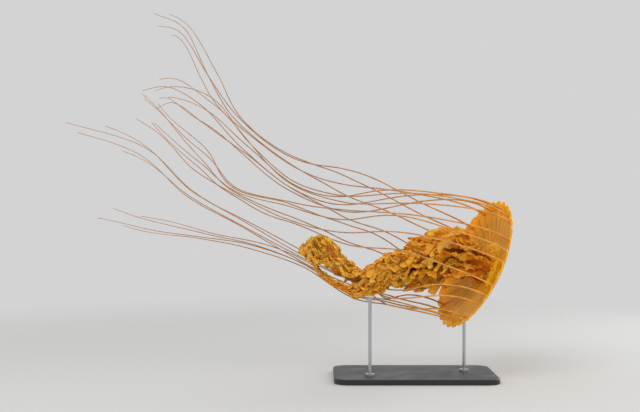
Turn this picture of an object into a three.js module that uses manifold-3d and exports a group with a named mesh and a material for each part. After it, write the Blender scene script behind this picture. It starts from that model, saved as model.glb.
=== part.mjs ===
// A Pacific sea nettle, Chrysaora fuscescens, as a still life-size display model.
// The animal swims to the right and a little down, with its bell relaxed to a wide, shallow dish.
// Its 24 tentacles and four frilled oral arms trail behind to the left, and a plain stand holds it up.
//
// Millimetres, +Z up. The bell is at +X, and the animal trails towards -X.
// The origin is the centre of the underside of the stand's base.

import * as THREE from "three";
import { mergeVertices } from "three/addons/utils/BufferGeometryUtils.js";
import Module from "manifold-3d";

const wasm = await Module();
wasm.setup();

const { degToRad, lerp, smoothstep } = THREE.MathUtils;

// ---- Driving dimensions ---------------------------------------------------------------------

const GAP = 0.3; // left between two pieces that meet

// Bell
const BELL_RADIUS = 128; // to the tips of the lappets
const BELL_CENTRE = new THREE.Vector3(113, 0, 212); // of the circle of lappet tips
const BELL_DIVE = degToRad(24.5); // how far below level the apex points
const BELL_TURN = degToRad(13.3); // how far the apex turns from +X towards +Y
const DOME_HEIGHT = 0.33 * BELL_RADIUS; // apex above the lappet tips
const DOME_POWER = 1.6; // 1 is a cone, 2 a paraboloid
const WALL_APEX = 13; // jelly at the middle of the bell
const WALL_MARGIN = 2.4; // jelly at the margin
const OCTANTS = 8;
const LAPPETS_PER_OCTANT = 4;
const LAPPETS = OCTANTS * LAPPETS_PER_OCTANT;
const SEGMENTS_PER_LAPPET = 3;
const LAPPET_DEPTH = 0.045; // of the clefts between lappets, as a share of the bell's radius
const LAPPET_START = 0.86; // where the clefts begin, as a share of the bell's radius
const DOME_RINGS = [0.3, 0.55, 0.76, 0.88, 1]; // shares of the bell's radius
const DISH_RINGS = [0.92, 0.8, 0.56, 0.34, 0.19]; // the same, inside the bell
const MARGIN_EDGE = 0.995; // the lower edge of the margin, as a share of the bell's radius
const MANUBRIUM_RADIUS = 21; // the mouth tube under the middle of the bell
const MANUBRIUM_ROOT = 6; // height of the slope round the top of the mouth tube
const MANUBRIUM_END = -10; // its mouth, along the bell's axis

// Tentacles
const ROOT_SHARE = 0.905; // where a tentacle grows, as a share of the bell's radius
const ROOT_GAP = 1; // clears the curve of the margin under a flat root
const TENTACLE_SIDES = 5;
const ROOT_STEPS = 9;
const TRAIL_STEPS = 8;
const TENTACLE_SPLIT = 0.42; // where the root length ends and the trailing length starts
const TENTACLE_RADII = [[0, 2.3], [0.3, 1.4], [0.6, 1.1], [1, 0.7]];
const WAKE = new THREE.Vector3(-850, -145, 50); // a tentacle's run if it trailed straight back
const RISES = [22, 36]; // how far a tentacle lifts as it leaves the lower rim, and the upper
const RISE_OVER = 0.07; // share of its length in which it does most of that
const JOIN_END = 0.34; // by here a tentacle lies in its strand
const SWAY = 0.2; // share of a strand's width by which its tentacles stray in and out
const SWAYS = 3; // times that each does so
const SWAY_SHIFT = 2.3; // keeps the tentacles of a strand from doing so together

// Oral arms
const ARMS = 4;
const ARM_STEPS = 12; // in each of an arm's two lengths
const ARM_COLUMNS = 4; // across one arm
const ARM_SPREAD = degToRad(37); // half the quarter turn that one arm keeps to
const ARM_TWIST = degToRad(150); // turn of the arms about each other, mouth to tips
const ARM_FIRST = degToRad(15); // where arm 1 stands at the mouth
const ARM_SPLIT = 0.5;

// Stand
const BASE_LENGTH = 300;
const BASE_WIDTH = 180;
const BASE_HEIGHT = 10;
const BASE_CORNER = 24;
const BASE_EDGE = 1.5; // bevel
const ROD_RADIUS = 3;
const FLANGE_RADIUS = 9;
const FLANGE_HEIGHT = 4;
const PAD_RADIUS = 8;
const PAD_HEIGHT = 4.5;
const PAD_CLEARANCE = 0.8; // a pad stays this far under the soft surface that it steadies
const ROD_SIDES = 16;
const BELL_ROD_AT = [95, 10]; // under the lower side of the dome
const BELL_PAD_FACING = new THREE.Vector3(-0.6, -0.2, 0.75).normalize(); // square to the dome there
const ARM_ROD_AT = [-84, -45]; // under the bend of the arms

// ---- Materials ------------------------------------------------------------------------------

const finish = (color, roughness, metalness = 0) =>
  new THREE.MeshStandardMaterial({ color, roughness, metalness });

const BELL_JELLY = finish(0xc9842a, 0.25);
const ARM_LACE = finish(0xe0a132, 0.4);
const TENTACLE_FLESH = finish(0x9a5a34, 0.35);
const BLACK_PAINT = finish(0x1c1c1e, 0.45);
const ROD_STEEL = finish(0xb9bcc0, 0.3, 1);

// ---- Helpers --------------------------------------------------------------------------------

// The value at x of a line through [place, value] pairs, eased at each pair.
function profile(pairs, x) {
  const next = pairs.findIndex(([place]) => x <= place);
  if (next === 0) return pairs[0][1];
  if (next < 0) return pairs[pairs.length - 1][1];
  const [[x0, y0], [x1, y1]] = [pairs[next - 1], pairs[next]];
  return lerp(y0, y1, smoothstep(x, x0, x1));
}

const spline = (...points) =>
  new THREE.CatmullRomCurve3(
    points.map((p) => new THREE.Vector3(...p)),
    false,
    "catmullrom",
  );

const DEPTH = new THREE.Vector3(0, 1, 0);

// The place of a curve at t, and two directions across it: one nearest +Y, and one square to that.
function frameAt(curve, t) {
  const along = curve.getTangent(t);
  const side = DEPTH.clone().addScaledVector(along, -DEPTH.dot(along)).normalize();
  return { place: curve.getPoint(t), side, up: side.clone().cross(along) };
}

// Keeps only positions, merged, so that the geometry is one closed surface.
function closed(geometry) {
  geometry.deleteAttribute("normal");
  geometry.deleteAttribute("uv");
  return mergeVertices(geometry, 1e-3);
}

function moveVertices(geometry, move) {
  const position = geometry.attributes.position;
  const point = new THREE.Vector3();
  for (let i = 0; i < position.count; i++) {
    move(point.fromBufferAttribute(position, i));
    position.setXYZ(i, point.x, point.y, point.z);
  }
  return closed(geometry);
}

// Bends a geometry that stands along Y, from -0.5 to 0.5, to a curve from t0 to t1.
// section(t, x, z) gives the steps sideways and up from the curve for the point x, z.
const bend = (geometry, curve, [t0, t1], section) =>
  moveVertices(geometry, (point) => {
    const t = lerp(t0, t1, point.y + 0.5);
    const { place, side, up } = frameAt(curve, t);
    const [sideways, upwards] = section(t, point.x, point.z);
    point.copy(place).addScaledVector(side, sideways).addScaledVector(up, upwards);
  });

function named(name, geometry, material) {
  const mesh = new THREE.Mesh(geometry, material);
  mesh.name = name;
  return mesh;
}

// ---- Bell -----------------------------------------------------------------------------------

// The bell stands in its own frame: +Y is the apex, +Z the upper rim and +X the rim that ends
// up nearest -Y.
const bellFrame = new THREE.Group();
bellFrame.position.copy(BELL_CENTRE);
const apexward = new THREE.Vector3(
  Math.cos(BELL_TURN) * Math.cos(BELL_DIVE),
  Math.sin(BELL_TURN),
  -Math.cos(BELL_TURN) * Math.sin(BELL_DIVE),
);
const rimUp = new THREE.Vector3(Math.sin(BELL_DIVE), 0, Math.cos(BELL_DIVE));
bellFrame.quaternion.setFromRotationMatrix(
  new THREE.Matrix4().makeBasis(apexward.clone().cross(rimUp), apexward, rimUp),
);
bellFrame.updateMatrixWorld();

// Height of the outside and the inside of the bell above the lappet tips, at a share of its radius.
const domeHeight = (share) => DOME_HEIGHT * (1 - share ** DOME_POWER);
const wallAt = (share) => lerp(WALL_APEX, WALL_MARGIN, smoothstep(share, 0, 1.05));
const dishHeight = (share) => domeHeight(share) - wallAt(share);

// How much of the radius the clefts between lappets leave, at a share of it and an angle.
const lappetKept = (share, angle) =>
  1 - LAPPET_DEPTH * smoothstep(share, LAPPET_START, 1) * ((1 + Math.cos(LAPPETS * angle)) / 2) ** 2;

function bellGeometry() {
  const at = (share, height) => new THREE.Vector2(BELL_RADIUS * share, height);
  const outline = [
    at(0, DOME_HEIGHT),
    ...DOME_RINGS.map((share) => at(share, domeHeight(share))),
    at(MARGIN_EDGE, -WALL_MARGIN),
    ...DISH_RINGS.map((share) => at(share, dishHeight(share))),
    new THREE.Vector2(MANUBRIUM_RADIUS, dishHeight(DISH_RINGS.at(-1)) - MANUBRIUM_ROOT),
    new THREE.Vector2(MANUBRIUM_RADIUS, MANUBRIUM_END),
    new THREE.Vector2(0, MANUBRIUM_END),
  ];
  const lathe = new THREE.LatheGeometry(outline.reverse(), LAPPETS * SEGMENTS_PER_LAPPET);
  return moveVertices(lathe, (point) => {
    const share = Math.hypot(point.x, point.z) / BELL_RADIUS;
    const kept = lappetKept(share, Math.atan2(point.x, point.z));
    point.x *= kept;
    point.z *= kept;
  });
}

const bell = named("bell", bellGeometry(), BELL_JELLY);
bellFrame.add(bell);

// ---- Tentacles ------------------------------------------------------------------------------

// The tentacles draw together into five strands in the wake, each narrowing to a waist and
// fanning out again to its tips. Each line runs from inside the bell to the strand's end.
// turn is how far a strand winds, and starts are where its tentacles grow round the margin,
// counted in clefts from the upper rim towards -Y. Every fourth cleft has a sense organ instead.
const STRANDS = {
  high: {
    line: spline(
      [116, 30, 303], [-7, 45, 349], [-130, 45, 372], [-238, 40, 411],
      [-330, 30, 483], [-386, 20, 566], [-432, 10, 649], [-489, 0, 668],
    ),
    widths: [[0.2, 25], [0.5, 7], [0.7, 14], [1, 20]],
    turn: degToRad(140),
    starts: [-7, -6, -5, -3],
  },
  middle: {
    line: spline(
      [116, 15, 285], [-7, 20, 319], [-128, 20, 323], [-229, 10, 358],
      [-314, 0, 429], [-383, -10, 496], [-446, -20, 529], [-497, -20, 519],
    ),
    widths: [[0.2, 25], [0.43, 8], [0.75, 24], [1, 20]],
    turn: degToRad(-120),
    starts: [-9, -2, -1, 1, 2, 3],
  },
  inner: {
    line: spline(
      [116, -10, 238], [-7, -15, 283], [-128, -25, 281], [-240, -35, 312],
      [-336, -45, 350], [-392, -55, 403], [-454, -60, 463], [-509, -60, 514],
    ),
    widths: [[0.2, 30], [0.42, 21], [0.56, 7], [0.75, 20], [1, 24]],
    turn: degToRad(110),
    starts: [-11, -10, 5, 6, 7, 9],
  },
  long: {
    line: spline(
      [116, -45, 135], [8, -14, 128], [-77, 5, 164], [-175, -5, 209],
      [-310, -30, 284], [-410, -45, 342], [-500, -55, 420], [-640, -60, 468],
    ),
    widths: [[0.08, 26], [0.17, 9], [0.5, 8], [0.75, 9], [1, 20]],
    turn: degToRad(-100),
    starts: [10, 11, 13, 19],
  },
  low: {
    line: spline(
      [95, 25, 96], [-5, 40, 140], [-110, 45, 152], [-205, 40, 209],
      [-300, 25, 246], [-395, 10, 265], [-490, 0, 285], [-585, -10, 309],
    ),
    widths: [[0.1, 12], [0.28, 6], [0.6, 7], [1, 18]],
    turn: degToRad(90),
    starts: [14, 15, 17, 18],
  },
};

// How far along its strand each tentacle of a strand reaches, in turn.
const REACHES = [1, 0.93, 0.97, 0.89, 0.95, 0.91];

// The angle of a cleft round the margin.
const cleftAngle = (cleft) => (cleft * 2 * Math.PI) / LAPPETS;

// Slope of the inside of the bell where the tentacles grow.
const SLOPE_STEP = 0.01;
const DISH_SLOPE =
  (dishHeight(ROOT_SHARE + SLOPE_STEP) - dishHeight(ROOT_SHARE)) / (SLOPE_STEP * BELL_RADIUS);

// The line of one tentacle, from its root on the margin, 0, to its tip, 1.
class TentacleLine extends THREE.Curve {
  constructor(strand, index) {
    super();
    const { starts } = strand;
    const angle = cleftAngle(starts[index]);
    const radial = new THREE.Vector3(Math.sin(angle), 0, Math.cos(angle));
    const radius = BELL_RADIUS * ROOT_SHARE * lappetKept(ROOT_SHARE, angle);
    const root = radial.clone().multiplyScalar(radius);
    root.y = dishHeight(ROOT_SHARE);
    this.seat = radial.multiplyScalar(DISH_SLOPE).sub(new THREE.Vector3(0, 1, 0));
    this.seat.transformDirection(bellFrame.matrixWorld);
    this.root = root.applyMatrix4(bellFrame.matrixWorld).addScaledVector(this.seat, ROOT_GAP);
    this.strand = strand;
    // A strand's tentacles share out its circle, in the order in which they grow.
    const middle = cleftAngle(starts[0] + starts.at(-1)) / 2;
    const place = (index - (starts.length - 1) / 2) / starts.length;
    this.phase = Math.PI / 2 + middle + 2 * Math.PI * place;
    this.reach = REACHES[index];
    this.rise = lerp(...RISES, Math.abs(Math.cos(angle / 2)));
  }
  getPoint(t, target = new THREE.Vector3()) {
    const trailing = this.root.clone().addScaledVector(WAKE, t);
    trailing.z += this.rise * (1 - Math.exp(-t / RISE_OVER));
    const along = t * this.reach;
    const { place, side, up } = frameAt(this.strand.line, along);
    const sway = SWAY * Math.sin(2 * Math.PI * SWAYS * t + SWAY_SHIFT * this.phase);
    const width = profile(this.strand.widths, along) * (1 + sway);
    const turned = this.phase + this.strand.turn * along;
    place.addScaledVector(side, width * Math.cos(turned));
    place.addScaledVector(up, width * Math.sin(turned));
    return target.copy(trailing).lerp(place, smoothstep(t, 0, JOIN_END));
  }
}

function tentacleLength(line, span, steps) {
  const straight = new THREE.CylinderGeometry(1, 1, 1, TENTACLE_SIDES, steps);
  return bend(straight, line, span, (t, x, z) => {
    const radius = profile(TENTACLE_RADII, t);
    return [x * radius, z * radius];
  });
}

// Lays the flat end of a tentacle's root along the slope of the margin.
function seated(geometry, line) {
  const start = line.getTangent(0);
  return moveVertices(geometry, (point) => {
    const fromRoot = point.clone().sub(line.root);
    if (Math.abs(fromRoot.dot(start)) < GAP)
      point.addScaledVector(start, -fromRoot.dot(line.seat) / start.dot(line.seat));
  });
}

const tentacles = new THREE.Group();
const tentacleCut = GAP / 2 / WAKE.length();
for (const strand of Object.values(STRANDS))
  strand.starts.forEach((start, index) => {
    const line = new TentacleLine(strand, index);
    const name = `tentacle_${String((start + LAPPETS) % LAPPETS).padStart(2, "0")}`;
    const root = tentacleLength(line, [0, TENTACLE_SPLIT - tentacleCut], ROOT_STEPS);
    const trail = tentacleLength(line, [TENTACLE_SPLIT + tentacleCut, 1], TRAIL_STEPS);
    tentacles.add(named(`${name}_root`, seated(root, line), TENTACLE_FLESH));
    tentacles.add(named(`${name}_trail`, trail, TENTACLE_FLESH));
  });

// ---- Oral arms ------------------------------------------------------------------------------

// The four arms run together down one line, each a folded ribbon in its own quarter. Then the
// lower pair drops away from the upper one, and they meet again at the tips.
const underMouth = (distance) =>
  new THREE.Vector3(0, MANUBRIUM_END - distance, 0).applyMatrix4(bellFrame.matrixWorld).toArray();
const ARM_LINE = spline(
  underMouth(GAP), underMouth(35), [30, -20, 217], [-15, -30, 206], [-52, -40, 199],
  [-84, -45, 183], [-120, -50, 188], [-160, -55, 212], [-208, -60, 246],
);
const ARM_RADII = [
  [0, 32], [0.1, 46], [0.2, 53], [0.32, 45], [0.42, 38], [0.52, 31], [0.6, 25], [0.66, 32],
  [0.76, 36], [0.86, 47], [0.94, 32], [1, 6],
];
const ARM_FOLDS = [[0, 8], [0.2, 9], [0.6, 5], [1, 3]]; // distance of an arm's fold from the line
const ARM_WALLS = [[0, 2.2], [0.6, 2], [1, 0.8]];
const LOWER_PAIR = [[0.6, 1], [0.75, 0.5], [0.86, 0.28], [1, 0.5]]; // share of it in the lower pair
const ARM_FLATNESS = [[0.05, 1], [0.15, 0.7], [0.55, 0.7], [0.75, 0.55]]; // of the bundle, in depth
const LOWER_DROP = [[0.58, 0], [0.75, 12], [0.86, 16], [0.94, 7], [1, 3]]; // below the upper pair
const RUFFLES = 6; // waves along an arm's edge
const RUFFLE_SWING = degToRad(8);
const RUFFLE_REACH = 0.1; // how much the waves add to an arm's width

const MIDDLE = new THREE.Vector2();
const isUpper = (arm) => arm === 0 || arm === ARMS - 1;

// One point of an arm's section: across runs from -1 to 1 over the fold at 0, and through is
// from -0.5 to 0.5 of the wall.
function armSection(arm, t, across, through) {
  const wave = 2 * Math.PI * RUFFLES * t;
  const share = isUpper(arm) ? 1 : profile(LOWER_PAIR, t);
  const radius = profile(ARM_RADII, t) * share * (1 + RUFFLE_REACH * Math.cos(wave + arm));
  const fold = new THREE.Vector2(profile(ARM_FOLDS, t), 0);
  const wing = new THREE.Vector2(Math.cos(ARM_SPREAD), Math.sin(ARM_SPREAD));
  wing.multiplyScalar(radius).sub(fold);
  const facing = new THREE.Vector2(-wing.y, wing.x).normalize();
  if (across === 0) facing.set(1 / facing.x, 0);
  if (across < 0) {
    wing.y *= -1;
    facing.y *= -1;
  }
  return fold
    .addScaledVector(wing, Math.abs(across))
    .addScaledVector(facing, through * profile(ARM_WALLS, t))
    .rotateAround(MIDDLE, RUFFLE_SWING * Math.sin(wave) * Math.abs(across))
    .rotateAround(MIDDLE, ARM_FIRST + (arm * 2 * Math.PI) / ARMS + ARM_TWIST * t);
}

function armLength(arm, span) {
  const straight = new THREE.BoxGeometry(2, 1, 1, ARM_COLUMNS, ARM_STEPS, 1);
  return bend(straight, ARM_LINE, span, (t, across, through) => {
    const point = armSection(arm, t, across, through);
    const drop = isUpper(arm) ? 0 : profile(LOWER_DROP, t);
    return [point.x * profile(ARM_FLATNESS, t), point.y - drop];
  });
}

const arms = new THREE.Group();
const armCut = GAP / 2 / ARM_LINE.getLength();
for (let arm = 0; arm < ARMS; arm++) {
  arms.add(named(`oral_arm_${arm + 1}_upper`, armLength(arm, [0, ARM_SPLIT - armCut]), ARM_LACE));
  arms.add(named(`oral_arm_${arm + 1}_lower`, armLength(arm, [ARM_SPLIT + armCut, 1]), ARM_LACE));
}

// ---- Stand ----------------------------------------------------------------------------------

function baseGeometry() {
  const [x, y] = [BASE_LENGTH / 2 - BASE_CORNER - BASE_EDGE, BASE_WIDTH / 2 - BASE_CORNER - BASE_EDGE];
  const outline = new THREE.Shape()
    .absarc(x, y, BASE_CORNER, 0, Math.PI / 2)
    .absarc(-x, y, BASE_CORNER, Math.PI / 2, Math.PI)
    .absarc(-x, -y, BASE_CORNER, Math.PI, 1.5 * Math.PI)
    .absarc(x, -y, BASE_CORNER, 1.5 * Math.PI, 2 * Math.PI);
  const plate = new THREE.ExtrudeGeometry(outline, {
    depth: BASE_HEIGHT - 2 * BASE_EDGE,
    bevelSize: BASE_EDGE,
    bevelThickness: BASE_EDGE,
    bevelSegments: 1,
    curveSegments: 6,
  });
  return closed(plate.translate(0, 0, BASE_EDGE));
}

function solidOf(geometry) {
  const solid = closed(geometry.clone());
  return new wasm.Manifold(
    new wasm.Mesh({
      numProp: 3,
      vertProperties: solid.attributes.position.array,
      triVerts: Uint32Array.from(solid.index.array),
    }),
  );
}

function geometryOf(solid) {
  const { vertProperties, triVerts } = solid.getMesh();
  const geometry = new THREE.BufferGeometry();
  geometry.setAttribute("position", new THREE.BufferAttribute(vertProperties, 3));
  geometry.setIndex(new THREE.BufferAttribute(triVerts, 1));
  return geometry;
}

const UPWARDS = new THREE.Vector3(0, 0, 1);

const upright = (radius, height) =>
  new THREE.CylinderGeometry(radius, radius, height, ROD_SIDES).rotateX(Math.PI / 2);

// How far a turned pad over a foot can rise before it meets the surfaces above.
function freeHeight(foot, turn, above) {
  const pad = new THREE.RingGeometry(0, PAD_RADIUS, ROD_SIDES, 2).applyQuaternion(turn);
  const position = pad.translate(...foot.toArray()).attributes.position;
  const heights = [];
  for (let i = 0; i < position.count; i++) {
    const ray = new THREE.Raycaster(new THREE.Vector3().fromBufferAttribute(position, i), UPWARDS);
    heights.push(...ray.intersectObjects(above).map((hit) => hit.distance));
  }
  return Math.min(...heights);
}

// A rod from the base up to the soft surface above, with a foot and a pad that faces that surface.
function rodGeometry([x, y], above, facing) {
  const foot = new THREE.Vector3(x, y, BASE_HEIGHT + GAP);
  const turn = new THREE.Quaternion().setFromUnitVectors(UPWARDS, facing);
  const reach = freeHeight(foot, turn, above) - PAD_CLEARANCE / facing.z;
  const middle = foot.clone().addScaledVector(UPWARDS, reach).addScaledVector(facing, -PAD_HEIGHT / 2);
  const length = middle.z - foot.z;
  const rod = upright(ROD_RADIUS, length).translate(x, y, foot.z + length / 2);
  const flange = upright(FLANGE_RADIUS, FLANGE_HEIGHT).translate(x, y, foot.z + FLANGE_HEIGHT / 2);
  const pad = upright(PAD_RADIUS, PAD_HEIGHT).applyQuaternion(turn).translate(...middle.toArray());
  return geometryOf(solidOf(rod).add(solidOf(flange)).add(solidOf(pad)));
}

const animal = new THREE.Group();
animal.add(bellFrame, tentacles, arms);
animal.updateMatrixWorld();

const stand = new THREE.Group();
stand.add(named("stand_base", baseGeometry(), BLACK_PAINT));
stand.add(named("stand_rod_bell", rodGeometry(BELL_ROD_AT, [bell], BELL_PAD_FACING), ROD_STEEL));
stand.add(named("stand_rod_arms", rodGeometry(ARM_ROD_AT, arms.children, UPWARDS), ROD_STEEL));

const jellyfish = new THREE.Group();
jellyfish.add(animal, stand);

export default jellyfish;
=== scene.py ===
"""A Pacific sea nettle, Chrysaora fuscescens, as a still life-size model on a plain display stand.

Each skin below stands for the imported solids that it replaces. Everything is in metres, with +Z up.
The bell is at +X, the animal trails towards -X, and the origin is the middle of the underside of
the base.
"""

import math

import bmesh
import bpy
from bpy.props import (
    FloatProperty, FloatVectorProperty, IntProperty, PointerProperty, StringProperty)
from bpy.types import Operator, Panel, PropertyGroup
from mathutils import Matrix, Vector, noise


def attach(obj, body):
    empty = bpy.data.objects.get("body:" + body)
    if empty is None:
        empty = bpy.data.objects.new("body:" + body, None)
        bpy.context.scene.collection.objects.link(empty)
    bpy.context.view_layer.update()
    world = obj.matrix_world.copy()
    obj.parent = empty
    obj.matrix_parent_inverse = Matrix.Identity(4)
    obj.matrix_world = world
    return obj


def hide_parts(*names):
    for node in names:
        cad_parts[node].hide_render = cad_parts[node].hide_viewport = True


bl_info = {
    "name": "Sea nettle display model",
    "version": (1, 0, 0),
    "blender": (4, 5, 0),
    "location": "3D Viewport > Sidebar > Sea nettle",
    "description": "Models a life-size sea nettle jellyfish on its display stand",
    "category": "Add Mesh",
}

MM = 0.001
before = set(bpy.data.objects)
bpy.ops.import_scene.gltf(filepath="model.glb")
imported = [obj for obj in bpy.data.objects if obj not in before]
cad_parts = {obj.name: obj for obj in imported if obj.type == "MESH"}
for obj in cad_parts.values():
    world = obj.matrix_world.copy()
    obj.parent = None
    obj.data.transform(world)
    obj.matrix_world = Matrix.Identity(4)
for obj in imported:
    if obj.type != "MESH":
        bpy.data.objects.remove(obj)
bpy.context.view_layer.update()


# ---- Sizes and colours that a user would change ------------------------------------------------


class SeaNettleBell(PropertyGroup):
    """The bell's size, pose and colours"""

    centre: FloatVectorProperty(
        name="Centre", description="Middle of the circle of lappet tips",
        subtype="XYZ", unit="LENGTH", default=(0.113, 0, 0.212))
    radius: FloatProperty(
        name="Radius", description="From the axis to the lappet tips", unit="LENGTH", default=0.128)
    dome: FloatProperty(
        name="Dome", description="Apex above the lappet tips, as a share of the radius",
        subtype="FACTOR", default=0.33)
    dive: FloatProperty(
        name="Dive", description="How far below level the apex points", subtype="ANGLE",
        default=math.radians(24.5))
    turn: FloatProperty(
        name="Turn", description="How far the apex turns from +X towards +Y", subtype="ANGLE",
        default=math.radians(13.3))
    lappets: IntProperty(name="Lappets", description="Lobes round the margin", default=32)
    jelly: StringProperty(name="Jelly", description="Colour of the thick jelly", default="#DA960E")
    margin: StringProperty(name="Margin", description="Colour of the rim", default="#F8AE1E")
    septa: StringProperty(
        name="Septa", description="Colour of the lines between the pouches", default="#A8640E")
    gonads: StringProperty(name="Gonads", description="Colour of the gonads", default="#FFBC26")


class SeaNettleArms(PropertyGroup):
    """The oral arms' frills and colours"""

    twist: FloatProperty(
        name="Twist", description="Turn of the arms about each other from mouth to tips",
        subtype="ANGLE", default=math.radians(150))
    rows: IntProperty(name="Rows", description="Rows of faces along a frill", default=620)
    columns: IntProperty(name="Columns", description="Columns of faces across a frill", default=24)
    thickness: FloatProperty(
        name="Thickness", description="Thickness of a frill", unit="LENGTH", default=0.5 * MM)
    trail: FloatProperty(
        name="Trail", description="How far a frill's edge is swept back, as a share of its width",
        subtype="FACTOR", default=0.75)
    # Painted light: the first colour below is the lighter gold painted on the wave crests and
    # towards a frill's edge, and the second is the painted orange-brown shade near the rib and deep
    # in the folds.
    painted_crest_light: StringProperty(name="Crest", description="Colour of a frill's edge", default="#FFB22E")
    painted_fold_shade: StringProperty(name="Hollow", description="Colour deep in the folds", default="#AA520C")


class SeaNettleTentacles(PropertyGroup):
    """The tentacles' shape and colours"""

    rings: IntProperty(name="Rings", description="Rings of faces along a tentacle", default=480)
    sides: IntProperty(name="Sides", description="Faces round a tentacle", default=8)
    root: StringProperty(
        name="Root", description="Colour where a tentacle grows", default="#E3A034")
    flesh: StringProperty(name="Flesh", description="Colour of the rest", default="#B08050")


class SeaNettleStage(PropertyGroup):
    """The floor, the lights and the camera"""

    floor: StringProperty(name="Floor", description="Colour of the floor", default="#D2D2D0")
    eye: FloatVectorProperty(
        name="Eye", description="Place of the camera", subtype="XYZ", unit="LENGTH",
        default=(-0.175, -1.990, 0.320))
    lens: FloatProperty(
        name="Lens", description="Focal length in mm", unit="CAMERA", default=60)


# ---- Curves and profiles -----------------------------------------------------------------------


def smoothstep(x, start, end):
    """0 before start, 1 after end, and an eased rise between."""
    share = min(max((x - start) / (end - start), 0), 1)
    return share * share * (3 - 2 * share)


def band(x, rise, fall):
    """0 before the rise and after the fall, and 1 between them."""
    return smoothstep(x, *rise) * (1 - smoothstep(x, *fall))


def profile(pairs, x):
    """The value at x of a line through (place, value) pairs, eased at each pair."""
    if x <= pairs[0][0]:
        return pairs[0][1]
    for (x0, y0), (x1, y1) in zip(pairs, pairs[1:]):
        if x <= x1:
            return y0 + (y1 - y0) * smoothstep(x, x0, x1)
    return pairs[-1][1]


def spline(points_mm):
    """A smooth line through points in mm: a function of t, from 0 to 1, that gives a place in m."""
    points = [Vector(p) * MM for p in points_mm]
    last = len(points) - 1
    ends = [2 * points[0] - points[1], 2 * points[last] - points[last - 1]]

    def place(t):
        span = min(max(int(t * last), 0), last - 1)
        u = t * last - span
        before = points[span - 1] if span else ends[0]
        after = points[span + 2] if span + 2 <= last else ends[1]
        start, end = points[span], points[span + 1]
        leave, arrive = (end - before) / 2, (after - start) / 2
        bow = (2 * u**3 - 3 * u**2 + 1) * start + (3 * u**2 - 2 * u**3) * end
        return bow + (u**3 - 2 * u**2 + u) * leave + (u**3 - u**2) * arrive

    return place


SMALL = 1e-4  # step for a line's direction
DEPTH = Vector((0, 1, 0))


def frame_at(line, t):
    """A line's place at t, and three directions: nearest +Y across it, square to that, along it."""
    along = (line(min(t + SMALL, 1)) - line(t - SMALL)).normalized()
    side = (DEPTH - along * DEPTH.dot(along)).normalized()
    return line(t), side, side.cross(along), along


def upright_tube(bm, sides, rings):
    """Adds a closed tube, 1 in radius and 1 high about the origin, cut into rings."""
    bmesh.ops.create_cone(bm, cap_ends=True, segments=sides, radius1=1, radius2=1, depth=1)
    uprights = [e for e in bm.edges if abs(e.verts[0].co.z - e.verts[1].co.z) > 0.5]
    bmesh.ops.subdivide_edges(bm, edges=uprights, cuts=rings - 1)


# ---- Colours, nodes and pieces -----------------------------------------------------------------


def linear(code):
    """A linear RGBA colour from an sRGB hex code."""
    parts = [int(code[i : i + 2], 16) / 255 for i in (1, 3, 5)]
    return (*(c / 12.92 if c <= 0.04045 else ((c + 0.055) / 1.055) ** 2.4 for c in parts), 1)


def plug(tree, node, sockets):
    """Sets or links a node's sockets, by name or number."""
    for socket, value in sockets.items():
        if isinstance(value, bpy.types.NodeSocket):
            tree.links.new(value, node.inputs[socket])
        else:
            node.inputs[socket].default_value = value


def add(tree, kind, sockets=None, **settings):
    """Adds a node with its settings, and sets or links its sockets."""
    node = tree.nodes.new(kind)
    for name, value in settings.items():
        setattr(node, name, value)
    plug(tree, node, sockets or {})
    return node


def new_material(name):
    """A material with only a Principled surface, and its tree."""
    material = bpy.data.materials.new(name)
    material.use_nodes = True
    tree = material.node_tree
    tree.nodes.clear()
    surface = add(tree, "ShaderNodeBsdfPrincipled")
    output = add(tree, "ShaderNodeOutputMaterial", {"Surface": surface.outputs[0]})
    output.is_active_output = True
    return material, tree, surface


def finish_piece(bm, name, material, nodes=()):
    """Makes a bmesh a smooth object that rides on the body and stands for CAD nodes."""
    mesh = bpy.data.meshes.new(name)
    bm.to_mesh(mesh)
    bm.free()
    mesh.shade_smooth()
    piece = bpy.data.objects.new(name, mesh)
    bpy.context.scene.collection.objects.link(piece)
    mesh.materials.append(material)
    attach(piece, "root")
    if nodes:
        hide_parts(*nodes)
    return piece


# ---- Bell --------------------------------------------------------------------------------------

DOME_POWER = 1.6  # 1 is a cone, 2 a paraboloid
WALL_APEX = 13 * MM
WALL_MARGIN = 2.4 * MM
WALL_TAPER = 0, 1.05  # the wall thins between these shares of the radius
LAPPET_DEPTH = 0.045  # of the clefts between lappets, as a share of the radius
LAPPET_START = 0.86  # where the clefts begin, as a share of the radius
ROOT_SHARE = 0.905  # where a tentacle grows, as a share of the radius
MANUBRIUM_RADIUS = 21 * MM
MANUBRIUM_END = -10 * MM  # height of the mouth tube's end above the lappet tips
STEPS_PER_LAPPET = 12
OUTER_RINGS = 70
INNER_RINGS = 104
LIP_RINGS = 8
INNER_EDGE = 0.985  # where the inside meets the rounded lip, as a share of the radius
TUBE_SHARE = 0.2  # where the inside turns down the mouth tube, as a share of the radius
FURROW = 0.8 * MM
FURROW_OUTSIDE, FURROW_INSIDE = 0.6, 0.5  # how much of its depth is on each side of the wall
SEPTUM = 0.4 * MM
SEPTUM_OUTSIDE = 0.3  # how strongly its colour shows through to the outside
PATCHES = 4, 5  # of stronger and fainter septa: scale round the bell, and outwards
MUSCLE_FOLD = 0.06 * MM
MUSCLE_FOLD_SPACING = 4.6 * MM
GONAD_HEIGHT = 2.2 * MM
GONAD_RUFFLE_HEIGHT = 2.6 * MM
GONAD_RUFFLE = 6.5 * MM
MOUTH_RADIUS = 12 * MM
MOUTH_DEPTH = 3 * MM  # of the dimple in the end of the mouth tube
TUBE_ROUNDING = 2 * MM  # where the tube meets the bell's inside, and round its end
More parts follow.
